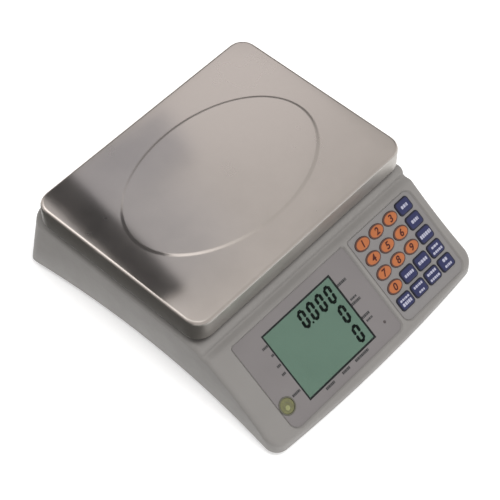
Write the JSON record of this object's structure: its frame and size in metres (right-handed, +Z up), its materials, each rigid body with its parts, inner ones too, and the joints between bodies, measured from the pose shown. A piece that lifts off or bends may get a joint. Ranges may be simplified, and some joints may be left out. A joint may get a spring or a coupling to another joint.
{
  "type": "counting scale",
  "caption": "Bench counting scale: rectangular steel pan on a load cell, sloping front panel with a display, bubble level and pressable keys, levelling feet.",
  "frame": {"origin": "on the table, under the middle of the scale's outer box", "axes": "+X to the right as seen from the front, +Y to the back, +Z up"},
  "size_m": [0.3032, 0.356, 0.123],
  "materials": {
    "housing": "satin",
    "base": "satin",
    "stainless": "brushed",
    "steel": "satin",
    "aluminium": "satin",
    "rubber": "matte",
    "mat_rubber": "matte",
    "display_film": "satin",
    "keypad_film": "satin",
    "window": "clear",
    "bezel": "satin",
    "lcd": "satin",
    "board": "satin",
    "battery_case": "satin",
    "key_orange": "satin",
    "key_blue": "satin",
    "level_ring": "satin",
    "level_fluid": "glossy",
    "lamp": "glossy",
    "switch": "satin",
    "brass": "satin"
  },
  "bodies": {
    "housing": {"upper_housing": "housing", "base_plate": "base", "housing_screws": "steel", "battery": "battery_case", "battery_door": "base", "door_screws": "steel", "load_cell": "aluminium", "load_cell_bracket": "aluminium", "load_cell_base_bolts": "steel", "overload_stop": "steel", "display_overlay": "display_film", "display_window": "window", "lcd_bezel": "bezel", "lcd_glass": "lcd", "lcd_board": "board", "keypad_overlay": "keypad_film", "keypad_mat": "mat_rubber", "keypad_board": "board", "main_board": "board", "board_screws": "steel", "level_cup": "level_ring", "level_vial": "level_fluid", "charge_lamp": "lamp", "power_switch_body": "switch", "power_inlet": "switch", "foot_inserts": "brass"},
    "platform": {"load_cell_spacer": "aluminium", "load_cell_top_bolts": "steel", "pan_support": "aluminium", "pan_buffers": "rubber"},
    "pan": {"pan": "stainless"},
    "power_rocker": {"power_rocker": "switch"},
    "foot_pad_front_left": {"foot_pad_front_left": "rubber"},
    "foot_screw_front_left": {"foot_screw_front_left": "steel"},
    "foot_pad_front_right": {"foot_pad_front_right": "rubber"},
    "foot_screw_front_right": {"foot_screw_front_right": "steel"},
    "foot_pad_rear_left": {"foot_pad_rear_left": "rubber"},
    "foot_screw_rear_left": {"foot_screw_rear_left": "steel"},
    "foot_pad_rear_right": {"foot_pad_rear_right": "rubber"},
    "foot_screw_rear_right": {"foot_screw_rear_right": "steel"},
    "key_digit_1": {"key_digit_1": "key_orange"},
    "key_digit_2": {"key_digit_2": "key_orange"},
    "key_digit_3": {"key_digit_3": "key_orange"},
    "key_function_1": {"key_function_1": "key_blue"},
    "key_digit_4": {"key_digit_4": "key_orange"},
    "key_digit_5": {"key_digit_5": "key_orange"},
    "key_digit_6": {"key_digit_6": "key_orange"},
    "key_function_2": {"key_function_2": "key_blue"},
    "key_digit_7": {"key_digit_7": "key_orange"},
    "key_digit_8": {"key_digit_8": "key_orange"},
    "key_digit_9": {"key_digit_9": "key_orange"},
    "key_function_3": {"key_function_3": "key_blue"},
    "key_digit_0": {"key_digit_0": "key_orange"},
    "key_function_4": {"key_function_4": "key_blue"},
    "key_function_5": {"key_function_5": "key_blue"},
    "key_function_6": {"key_function_6": "key_blue"},
    "key_function_7": {"key_function_7": "key_blue"},
    "key_function_8": {"key_function_8": "key_blue"},
    "key_function_9": {"key_function_9": "key_blue"},
    "key_function_10": {"key_function_10": "key_blue"}
  },
  "joints": [
    {"name": "weighing", "type": "slide", "parent": "housing", "child": "platform", "axis": [0, 0, 1], "range_m": [-0.0005, 0], "stiffness_N_per_m": 100000, "springref_m": 0.0002, "deforming": ["load_cell"]},
    {"name": "pan_lift_off", "type": "slide", "parent": "platform", "child": "pan", "axis": [0, 0, 1], "range_m": [0, 0.06]},
    {"name": "power_switch", "type": "hinge", "parent": "housing", "child": "power_rocker", "pos_m": [0.1375, 0.078, 0.042], "axis": [0, 0, 1], "range_deg": [0, 16]},
    {"name": "foot_height_front_left", "type": "slide", "parent": "housing", "child": "foot_pad_front_left", "axis": [0, 0, 1], "range_m": [-0.006, 0]},
    {"name": "foot_turn_front_left", "type": "hinge", "parent": "foot_pad_front_left", "child": "foot_screw_front_left", "pos_m": [-0.13, -0.135, 0.003], "axis": [0, 0, 1], "range_deg": [-1730, 0]},
    {"name": "foot_height_front_right", "type": "slide", "parent": "housing", "child": "foot_pad_front_right", "axis": [0, 0, 1], "range_m": [-0.006, 0]},
    {"name": "foot_turn_front_right", "type": "hinge", "parent": "foot_pad_front_right", "child": "foot_screw_front_right", "pos_m": [0.13, -0.135, 0.003], "axis": [0, 0, 1], "range_deg": [-1730, 0]},
    {"name": "foot_height_rear_left", "type": "slide", "parent": "housing", "child": "foot_pad_rear_left", "axis": [0, 0, 1], "range_m": [-0.006, 0]},
    {"name": "foot_turn_rear_left", "type": "hinge", "parent": "foot_pad_rear_left", "child": "foot_screw_rear_left", "pos_m": [-0.12, 0.133, 0.003], "axis": [0, 0, 1], "range_deg": [-1730, 0]},
    {"name": "foot_height_rear_right", "type": "slide", "parent": "housing", "child": "foot_pad_rear_right", "axis": [0, 0, 1], "range_m": [-0.006, 0]},
    {"name": "foot_turn_rear_right", "type": "hinge", "parent": "foot_pad_rear_right", "child": "foot_screw_rear_right", "pos_m": [0.12, 0.133, 0.003], "axis": [0, 0, 1], "range_deg": [-1730, 0]},
    {"name": "key_digit_1_press", "type": "slide", "parent": "housing", "child": "key_digit_1", "axis": [0, -0.5693, 0.8221], "range_m": [-0.0008, 0], "stiffness_N_per_m": 300, "springref_m": 0.001},
    {"name": "key_digit_2_press", "type": "slide", "parent": "housing", "child": "key_digit_2", "axis": [0, -0.5693, 0.8221], "range_m": [-0.0008, 0], "stiffness_N_per_m": 300, "springref_m": 0.001},
    {"name": "key_digit_3_press", "type": "slide", "parent": "housing", "child": "key_digit_3", "axis": [0, -0.5693, 0.8221], "range_m": [-0.0008, 0], "stiffness_N_per_m": 300, "springref_m": 0.001},
    {"name": "key_function_1_press", "type": "slide", "parent": "housing", "child": "key_function_1", "axis": [0, -0.5693, 0.8221], "range_m": [-0.0008, 0], "stiffness_N_per_m": 300, "springref_m": 0.001},
    {"name": "key_digit_4_press", "type": "slide", "parent": "housing", "child": "key_digit_4", "axis": [0, -0.5693, 0.8221], "range_m": [-0.0008, 0], "stiffness_N_per_m": 300, "springref_m": 0.001},
    {"name": "key_digit_5_press", "type": "slide", "parent": "housing", "child": "key_digit_5", "axis": [0, -0.5693, 0.8221], "range_m": [-0.0008, 0], "stiffness_N_per_m": 300, "springref_m": 0.001},
    {"name": "key_digit_6_press", "type": "slide", "parent": "housing", "child": "key_digit_6", "axis": [0, -0.5693, 0.8221], "range_m": [-0.0008, 0], "stiffness_N_per_m": 300, "springref_m": 0.001},
    {"name": "key_function_2_press", "type": "slide", "parent": "housing", "child": "key_function_2", "axis": [0, -0.5693, 0.8221], "range_m": [-0.0008, 0], "stiffness_N_per_m": 300, "springref_m": 0.001},
    {"name": "key_digit_7_press", "type": "slide", "parent": "housing", "child": "key_digit_7", "axis": [0, -0.5693, 0.8221], "range_m": [-0.0008, 0], "stiffness_N_per_m": 300, "springref_m": 0.001},
    {"name": "key_digit_8_press", "type": "slide", "parent": "housing", "child": "key_digit_8", "axis": [0, -0.5693, 0.8221], "range_m": [-0.0008, 0], "stiffness_N_per_m": 300, "springref_m": 0.001},
    {"name": "key_digit_9_press", "type": "slide", "parent": "housing", "child": "key_digit_9", "axis": [0, -0.5693, 0.8221], "range_m": [-0.0008, 0], "stiffness_N_per_m": 300, "springref_m": 0.001},
    {"name": "key_function_3_press", "type": "slide", "parent": "housing", "child": "key_function_3", "axis": [0, -0.5693, 0.8221], "range_m": [-0.0008, 0], "stiffness_N_per_m": 300, "springref_m": 0.001},
    {"name": "key_digit_0_press", "type": "slide", "parent": "housing", "child": "key_digit_0", "axis": [0, -0.5693, 0.8221], "range_m": [-0.0008, 0], "stiffness_N_per_m": 300, "springref_m": 0.001},
    {"name": "key_function_4_press", "type": "slide", "parent": "housing", "child": "key_function_4", "axis": [0, -0.5693, 0.8221], "range_m": [-0.0008, 0], "stiffness_N_per_m": 300, "springref_m": 0.001},
    {"name": "key_function_5_press", "type": "slide", "parent": "housing", "child": "key_function_5", "axis": [0, -0.5693, 0.8221], "range_m": [-0.0008, 0], "stiffness_N_per_m": 300, "springref_m": 0.001},
    {"name": "key_function_6_press", "type": "slide", "parent": "housing", "child": "key_function_6", "axis": [0, -0.5693, 0.8221], "range_m": [-0.0008, 0], "stiffness_N_per_m": 300, "springref_m": 0.001},
    {"name": "key_function_7_press", "type": "slide", "parent": "housing", "child": "key_function_7", "axis": [0, -0.5693, 0.8221], "range_m": [-0.0008, 0], "stiffness_N_per_m": 300, "springref_m": 0.001},
    {"name": "key_function_8_press", "type": "slide", "parent": "housing", "child": "key_function_8", "axis": [0, -0.5693, 0.8221], "range_m": [-0.0008, 0], "stiffness_N_per_m": 300, "springref_m": 0.001},
    {"name": "key_function_9_press", "type": "slide", "parent": "housing", "child": "key_function_9", "axis": [0, -0.5693, 0.8221], "range_m": [-0.0008, 0], "stiffness_N_per_m": 300, "springref_m": 0.001},
    {"name": "key_function_10_press", "type": "slide", "parent": "housing", "child": "key_function_10", "axis": [0, -0.5693, 0.8221], "range_m": [-0.0008, 0], "stiffness_N_per_m": 300, "springref_m": 0.001}
  ],
  "couplings": [
    {"joint": "foot_turn_front_left", "follows": "foot_height_front_left", "rad_per_m": 5026.5},
    {"joint": "foot_turn_front_right", "follows": "foot_height_front_right", "rad_per_m": 5026.5},
    {"joint": "foot_turn_rear_left", "follows": "foot_height_rear_left", "rad_per_m": 5026.5},
    {"joint": "foot_turn_rear_right", "follows": "foot_height_rear_right", "rad_per_m": 5026.5}
  ]
}
